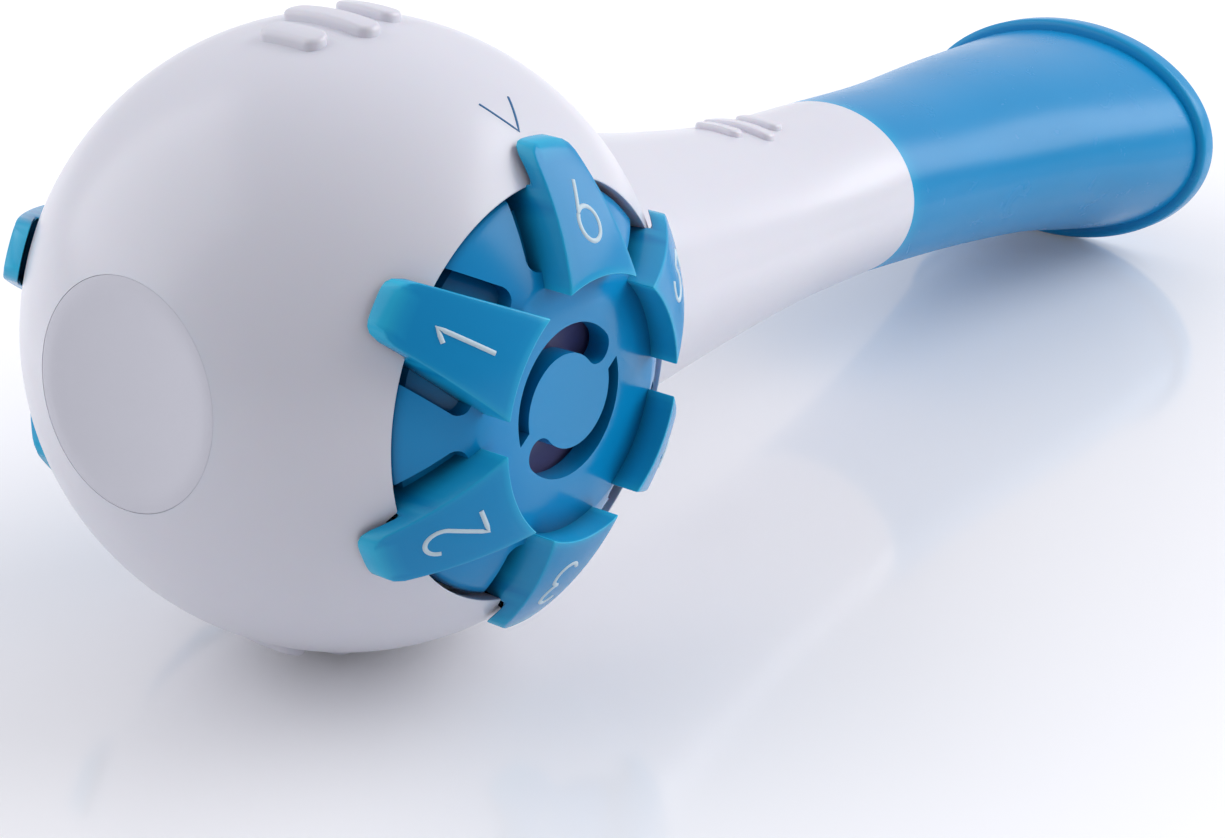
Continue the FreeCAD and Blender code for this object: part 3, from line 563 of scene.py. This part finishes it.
def around(radius, degrees):
    """The place at this distance from the dial's axis and at this turn."""
    return Vector((math.cos(math.radians(degrees)), math.sin(math.radians(degrees)))) * radius


def prism(name, outline, bottom, top):
    """A closed upright block: a filled ring of points, each placed, and then extruded."""
    bpy.ops.object.select_all(action="DESELECT")
    bpy.ops.mesh.primitive_circle_add(vertices=len(outline), radius=1.0, fill_type="NGON")
    piece = added(name)
    for vertex, (x, y) in zip(piece.data.vertices, outline):
        vertex.co = (x, y, bottom)
    bpy.ops.object.mode_set(mode="EDIT")
    bpy.ops.mesh.select_all(action="SELECT")
    bpy.ops.mesh.extrude_region_move(TRANSFORM_OT_translate={"value": (0, 0, top - bottom)})
    return close_up(piece)


def copy_turned(piece, degrees):
    """A copy with its own mesh, turned about the dial's axis."""
    twin = piece.copy()
    twin.data = piece.data.copy()
    bpy.context.scene.collection.objects.link(twin)
    twin.data.transform(Matrix.Rotation(math.radians(degrees), 4, "Z"))
    return twin


def paddle_shape():
    """A tapered block under a ball-shaped crown, concave toward the hub, its tip over the ball.

    A flat grid is laid over the crown, then extruded down and its underside set on the two balls."""
    bpy.ops.object.select_all(action="DESELECT")
    bpy.ops.mesh.primitive_grid_add(x_subdivisions=12, y_subdivisions=14, size=2.0)
    paddle = added("paddle")
    inner_angle = math.degrees(math.asin(PADDLE_INNER[1] / PADDLE_INNER[0]))
    outer_angle = math.degrees(math.asin(PADDLE_OUTER[1] / PADDLE_OUTER[0]))
    for vertex in paddle.data.vertices:
        side, share = vertex.co.x, (vertex.co.y + 1) / 2
        near = around(PADDLE_INNER[0], 90 - side * inner_angle)
        far = around(PADDLE_OUTER[0] - abs(side) ** 6, 90 - side * outer_angle)
        spot = near.lerp(far, share)
        vertex.co = (spot.x, spot.y, math.sqrt(CROWN_RADIUS ** 2 - spot.length_squared))
    bpy.ops.object.mode_set(mode="EDIT")
    bpy.ops.mesh.select_all(action="SELECT")
    bpy.ops.mesh.extrude_region_move(TRANSFORM_OT_translate={"value": (0, 0, -CROWN_RADIUS)})
    only(paddle)
    for vertex in paddle.data.vertices:
        if vertex.co.z < SKIRT_BOTTOM - 5:
            out = math.hypot(vertex.co.x, vertex.co.y)
            under = BALL_RADIUS + PADDLE_FLOAT if out > DIAL_RADIUS + 0.1 else DOME_RADIUS - PADDLE_ROOT
            vertex.co.z = math.sqrt(under ** 2 - out ** 2)
    close_up(paddle)
    soft = paddle.modifiers.new("soft_edges", "BEVEL")
    soft.width = PADDLE_EDGE_ROUND
    soft.segments = 3
    soft.limit_method = "ANGLE"
    soft.angle_limit = math.radians(50)
    bpy.ops.object.modifier_apply(modifier=soft.name)
    return paddle


def ball_tool(name, radius, segments):
    """A plain ball to cut with, its poles on X."""
    bpy.ops.object.select_all(action="DESELECT")
    bpy.ops.mesh.primitive_uv_sphere_add(segments=segments, ring_count=segments * 3 // 4, radius=radius,
                                         rotation=(0, math.radians(90), 0))
    return added(name)


def channel_tool():
    """The groove that a paddle stands in, with rounded inner corners, over a ball-shaped floor."""
    half_in = PADDLE_INNER[1] + CHANNEL_WIDTH
    half_out = PADDLE_OUTER[1] + CHANNEL_SPREAD * CHANNEL_WIDTH
    corner_x = half_in - CHANNEL_CORNER
    corner_y = PADDLE_INNER[0] + CHANNEL_BACK + CHANNEL_CORNER
    right = [(corner_x + CHANNEL_CORNER * math.sin(turn), corner_y - CHANNEL_CORNER * math.cos(turn))
             for turn in (math.radians(90 * step / 5) for step in range(6))]
    right.append((half_out, DIAL_RADIUS + 3))
    tool = prism("channel", right + [(-x, y) for x, y in reversed(right)], CHANNEL_BOTTOM, TOOL_TOP)
    floor = ball_tool("channel_floor", DOME_RADIUS - CHANNEL_DEPTH, 128)
    notch_start = DIAL_RADIUS - NOTCH_WIDTH
    inside_rim = turned("inside_rim", [(notch_start, 0), (notch_start, PAST_BALL)], INSIDE_POINTS)
    carve(floor, inside_rim, "INTERSECT")
    carve(tool, floor)
    return tool


def vent_tool(start):
    """A curved vent: wide and round at its start, narrowing to a slanted point at its end."""
    outline = [around(VENT_OUTER, start + VENT_SWEEP * step / 40) for step in range(41)]
    middle = around(VENT_TAPER, start + VENT_SWEEP)
    for step in range(41):
        way = around(1.0, start + VENT_SWEEP * 0.97 * (1 - step / 40))
        reach = way.dot(middle) + math.sqrt(VENT_INNER ** 2 - middle.length_squared + way.dot(middle) ** 2)
        outline.append(way * reach)
    cap = around(VENT_OUTER - VENT_CAP, start)
    outline += [cap + around(VENT_CAP, start + 180 + 180 * step / 16) for step in range(1, 16)]
    return prism("vent", outline, VENT_BOTTOM, TOOL_TOP)


FIGURE_HALF_HEIGHT = 2.35
FIGURE_CENTRE = 17.3
FIGURE_STROKE = 0.3
FIGURE_SINK = 0.18
STROKE_STEP = 0.6


def bend(x, y, half_width, half_height, start, end, steps=16):
    """Points round part of an oval, from one turn in degrees to another."""
    turns = [math.radians(start + (end - start) * step / steps) for step in range(steps + 1)]
    return [(x + half_width * math.cos(turn), y + half_height * math.sin(turn)) for turn in turns]


# The numbers 1 to 6 as lines through points, each 2 units high about its own centre.
FIGURES = (
    [(-0.42, 0.66), (0.0, 1.0), (0.0, -1.0)],
    bend(0.0, 0.48, 0.5, 0.52, 165, -35) + [(-0.52, -1.0), (0.55, -1.0)],
    bend(0.0, 0.52, 0.44, 0.48, 150, -80) + bend(0.0, -0.48, 0.52, 0.52, 80, -150),
    [(0.24, -1.0), (0.24, 1.0), (-0.58, -0.42), (0.58, -0.42)],
    [(0.46, 1.0), (-0.34, 1.0), (-0.42, 0.12)] + bend(0.0, -0.4, 0.54, 0.6, 120, -150),
    [(0.12, 1.0), (-0.4, -0.05)] + bend(0.0, -0.42, 0.54, 0.58, 140, -220, 32))


def stroke(name, points, thickness):
    """A fine raised line through points, as a mesh."""
    line = bpy.data.curves.new(name, "CURVE")
    line.dimensions = "3D"
    line.bevel_depth = thickness
    line.bevel_resolution = 2
    line.use_fill_caps = True
    run = line.splines.new("POLY")
    run.points.add(len(points) - 1)
    for spot, place in zip(run.points, points):
        spot.co = (*place, 1.0)
    piece = bpy.data.objects.new(name, line)
    bpy.context.scene.collection.objects.link(piece)
    only(piece)
    bpy.ops.object.convert(target="MESH")
    piece = bpy.context.object
    bpy.ops.object.mode_set(mode="EDIT")
    bpy.ops.mesh.select_all(action="SELECT")
    bpy.ops.mesh.remove_doubles(threshold=0.001)
    return only(piece)


def on_crown(points, radius, sink):
    """The same flat points set into a ball-shaped surface, with more of them along each run."""
    placed = []
    for (x, y), (far_x, far_y) in zip(points, points[1:]):
        count = max(1, round(math.hypot(far_x - x, far_y - y) / STROKE_STEP))
        for step in range(count):
            placed.append((x + (far_x - x) * step / count, y + (far_y - y) * step / count))
    placed.append(points[-1])
    return [(x, y, math.sqrt((radius - sink) ** 2 - x ** 2 - y ** 2)) for x, y in placed]


def dial_cap(side, turns):
    """The dome, skirt and post, with the grooves and vents cut."""
    inner_dome = DOME_RADIUS - CAP_WALL
    inner_edge = DIAL_RADIUS - SKIRT_WALL
    hub_radius = math.sqrt(DOME_RADIUS ** 2 - HUB_FACE ** 2)
    ceiling_radius = math.sqrt(inner_dome ** 2 - (HUB_FACE - CAP_WALL) ** 2)
    rim_height = math.sqrt(DOME_RADIUS ** 2 - DIAL_RADIUS ** 2)
    profile = arc(DOME_RADIUS, hub_radius, DIAL_RADIUS - DIAL_EDGE, 10)
    profile += [(DIAL_RADIUS, rim_height - DIAL_EDGE), (DIAL_RADIUS, SKIRT_BOTTOM),
                (inner_edge, SKIRT_BOTTOM)]
    profile += arc(inner_dome, inner_edge, ceiling_radius, 8)
    profile += [(POST_STEPS[0][0], HUB_FACE - CAP_WALL), *POST_STEPS]
    cap = turned(side + "_dial_cap", profile, 180)
    channel = channel_tool()
    for degrees in turns:
        carve(cap, copy_turned(channel, degrees))
    bpy.data.objects.remove(channel)
    for start in (VENT_START, VENT_START + 180):
        carve(cap, vent_tool(start))
    return cap


# The dial caps get painted shade in their grooves but no painted edge highlight; the paddles get both, with a
# strong highlight.
dial_blue = blue_plastic("blue_gloss_polypropylene", roughness=0.18, mottle=0.06, painted_edge_highlight=0.0,
                         painted_groove_shade=0.4)
paddle_blue = blue_plastic("blue_paddle_polypropylene", roughness=0.2, mottle=0.06, painted_edge_highlight=0.9,
                           painted_groove_shade=0.4)
print_white = plastic("white_print", (0.62, 0.78, 0.86, 1.0), mottle=0.05, roughness=0.45, marks=0.1,
                      grain_scale=3000.0, grain_depth=0.00001, IOR=1.5)
print_blue = plastic("blue_print", (0.004, 0.13, 0.32, 1.0), mottle=0.08, roughness=0.4, marks=0.1,
                     grain_scale=3000.0, grain_depth=0.00001, IOR=1.5)
POINTER = ((-2.3, 25.0), (-0.3, 22.9), (1.8, 25.1))
POINTER_STROKE = 0.2
POINTER_SINK = 0.13


def dial(side, turns, facing):
    """One dial with its paddles and numbers at these turns, and the casing's pointer over it."""
    place = LAY @ facing
    body = side + "_dial"
    cap = dial_cap(side, turns)
    settle(cap, place, body, dial_blue)
    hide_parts(body)
    original = paddle_shape()
    for number, degrees in enumerate(turns, start=1):
        paddle = copy_turned(original, degrees)
        paddle.name = "%s_paddle_%d" % (side, number)
        settle(paddle, place, body, paddle_blue, 50.0)
        points = [(x * FIGURE_HALF_HEIGHT, FIGURE_CENTRE + y * FIGURE_HALF_HEIGHT)
                  for x, y in FIGURES[number - 1]]
        figure = stroke("%s_number_%d" % (side, number),
                        on_crown(points, CROWN_RADIUS, FIGURE_SINK), FIGURE_STROKE)
        figure.data.transform(Matrix.Rotation(math.radians(degrees), 4, "Z"))
        settle(figure, place, body, print_white, 60.0)
    bpy.data.objects.remove(original)
    pointer = stroke(side + "_pointer", on_crown(POINTER, BALL_RADIUS, POINTER_SINK), POINTER_STROKE)
    settle(pointer, place, "casing", print_blue, 60.0)


# Columns are the dial's own X, Y and outward Z in the ball's frame.
FACING_RIGHT = Matrix(((0, 0, 1, 0), (1, 0, 0, 0), (0, 1, 0, 0), (0, 0, 0, 1)))
FACING_LEFT = Matrix(((0, 0, -1, 0), (-1, 0, 0, 0), (0, 1, 0, 0), (0, 0, 0, 1)))
dial("inhale", (60, 120, 180, 240, 300, 360), FACING_RIGHT)
dial("exhale", (48, 108, 168, 228, 288), FACING_LEFT)

# Valves: cup, grille, loose silicone disc, seal, click spring, metering disc and screw of each side.
# They are moulded or turned pieces inside the ball; the metering disc shows dark violet in the vents.
violet = plastic("violet_polypropylene", (0.13, 0.13, 0.32, 1.0), mottle=0.5, roughness=0.38, marks=0.15,
                 grain_scale=900.0, grain_depth=0.00005, IOR=1.49)
natural = plastic("natural_polypropylene", (0.55, 0.56, 0.6, 1.0), mottle=0.08, roughness=0.4, marks=0.1,
                  grain_scale=1200.0, grain_depth=0.00003, IOR=1.49, Subsurface_Weight=0.2,
                  Subsurface_Scale=0.001)
silicone = plastic("clear_silicone", (0.6, 0.62, 0.66, 1.0), mottle=0.06, roughness=0.5, marks=0.1,
                   grain_scale=1500.0, grain_depth=0.00002, IOR=1.41, Subsurface_Weight=0.4,
                   Subsurface_Scale=0.001)
black_rubber = plastic("black_seal_rubber", (0.02, 0.02, 0.022, 1.0), mottle=0.3, roughness=0.6, marks=0.15,
                       grain_scale=1800.0, grain_depth=0.00004, IOR=1.5)
steel = plastic("stainless_steel", (0.6, 0.6, 0.62, 1.0), mottle=0.06, roughness=0.22, marks=0.15,
                grain_scale=4000.0, grain_depth=0.00001, Metallic=1.0)
INSIDE = {"metering_disc": violet, "valve_cup": natural, "valve_grille": natural,
          "valve_disc": silicone, "cup_seal": black_rubber, "click_spring": steel, "dial_screw": steel}
for side in ("inhale", "exhale"):
    for piece, material in INSIDE.items():
        node = frame["nodes"]["%s_%s" % (side, piece)]
        node.data.materials.clear()
        node.data.materials.append(material)

# Studio: a white glossy table, whiter away from the object and with painted shade around it, a white
# room that is dimmer on one side, a weak softbox above to the left and a stronger one behind to the right.
TABLE_SIZE = 12.0
# The table's lift, light added for the camera and in reflections, drops near the object over an oval
# patch, which paints shade around it: its X and Y count by these shares.
PAINTED_SHADE_PATCH = (1.0, 0.6, 0.0)
bpy.ops.object.select_all(action="DESELECT")
bpy.ops.mesh.primitive_plane_add(size=TABLE_SIZE)
floor = added("table")
table_white = bpy.data.materials.new("white_gloss_table")
table_white.use_nodes = True
table_tree = table_white.node_tree
shader = table_tree.nodes["Principled BSDF"]
for socket, value in (("Base Color", (0.88, 0.88, 0.9, 1.0)), ("Roughness", 0.11), ("IOR", 1.7),
                      ("Emission Color", (1.0, 1.0, 1.0, 1.0))):
    shader.inputs[socket].default_value = value
rays = table_tree.nodes.new("ShaderNodeLightPath")
place = table_tree.nodes.new("ShaderNodeTexCoord")
stretch = table_tree.nodes.new("ShaderNodeVectorMath")
stretch.operation = "MULTIPLY"
stretch.inputs[1].default_value = PAINTED_SHADE_PATCH
away = table_tree.nodes.new("ShaderNodeVectorMath")
away.operation = "LENGTH"
# Painted shade: the lift drops from 0.34 far off to 0.05 close to the object.
painted_shade_fade = group_node(table_tree, "ShaderNodeMapRange", From_Min=0.04, From_Max=0.13, To_Min=0.05, To_Max=0.34)
table_tree.links.new(place.outputs["Object"], stretch.inputs[0])
table_tree.links.new(stretch.outputs["Vector"], away.inputs[0])
table_tree.links.new(away.outputs["Value"], painted_shade_fade.inputs["Value"])
seen = rays.outputs["Is Camera Ray"]
for kind in ("Is Glossy Ray", "Is Transmission Ray"):
    either = table_tree.nodes.new("ShaderNodeMath")
    either.operation = "MAXIMUM"
    table_tree.links.new(seen, either.inputs[0])
    table_tree.links.new(rays.outputs[kind], either.inputs[1])
    seen = either.outputs["Value"]
lift = table_tree.nodes.new("ShaderNodeMath")
lift.operation = "MULTIPLY"
table_tree.links.new(seen, lift.inputs[0])
table_tree.links.new(painted_shade_fade.outputs["Result"], lift.inputs[1])
table_tree.links.new(lift.outputs["Value"], shader.inputs["Emission Strength"])
floor.data.materials.append(table_white)

world = bpy.data.worlds.new("white_room")
world.use_nodes = True
bpy.context.scene.world = world
room = world.node_tree
background = room.nodes["Background"]
background.inputs["Color"].default_value = (0.93, 0.93, 1.0, 1.0)
direction = room.nodes.new("ShaderNodeTexCoord")
DIM_SIDE = (0.57, -0.82, 0.0)
side_on = room.nodes.new("ShaderNodeVectorMath")
side_on.operation = "DOT_PRODUCT"
side_on.inputs[1].default_value = DIM_SIDE
dimmed = group_node(room, "ShaderNodeMapRange", From_Min=-0.6, From_Max=0.8, To_Min=0.78, To_Max=0.34)
room.links.new(direction.outputs["Generated"], side_on.inputs[0])
room.links.new(side_on.outputs["Value"], dimmed.inputs["Value"])
room.links.new(dimmed.outputs["Result"], background.inputs["Strength"])


def softbox(name, place, target, width, height, power):
    """A rectangular area light that faces its target; sizes in metres, power in watts."""
    light = bpy.data.lights.new(name, "AREA")
    light.shape = "RECTANGLE"
    light.size = width
    light.size_y = height
    light.energy = power
    lamp = bpy.data.objects.new(name, light)
    bpy.context.scene.collection.objects.link(lamp)
    lamp.location = place
    lamp.rotation_euler = (Vector(target) - Vector(place)).to_track_quat("-Z", "Y").to_euler()


softbox("left_softbox", (-0.5, -0.35, 0.42), (0, 0, 0.02), width=0.8, height=0.7, power=2.0)
softbox("right_softbox", (0.45, 0.5, 0.45), (0, 0, 0.03), width=0.7, height=0.6, power=4.0)

# Camera: low, from the end pad's side, so that the inhale dial faces it and the tube runs away.
# Its place, turn and lens were fitted to the reference photograph.
CAMERA_PLACE = (0.15804, -0.22736, 0.12464)
CAMERA_AZIMUTH = 36.93
CAMERA_ELEVATION = 24.06
CAMERA_ROLL = 0.2
CAMERA_LENS = 77.6
camera_data = bpy.data.cameras.new("camera")
camera_data.lens = CAMERA_LENS
camera_data.clip_start = 0.01
camera = bpy.data.objects.new("camera", camera_data)
bpy.context.scene.collection.objects.link(camera)
camera.location = CAMERA_PLACE
aim = Matrix.Rotation(math.radians(CAMERA_AZIMUTH), 4, "Z")
aim = aim @ Matrix.Rotation(math.radians(90 - CAMERA_ELEVATION), 4, "X")
aim = aim @ Matrix.Rotation(math.radians(CAMERA_ROLL), 4, "Z")
camera.rotation_euler = aim.to_euler()
bpy.context.scene.camera = camera
bpy.context.scene.view_settings.view_transform = "Standard"
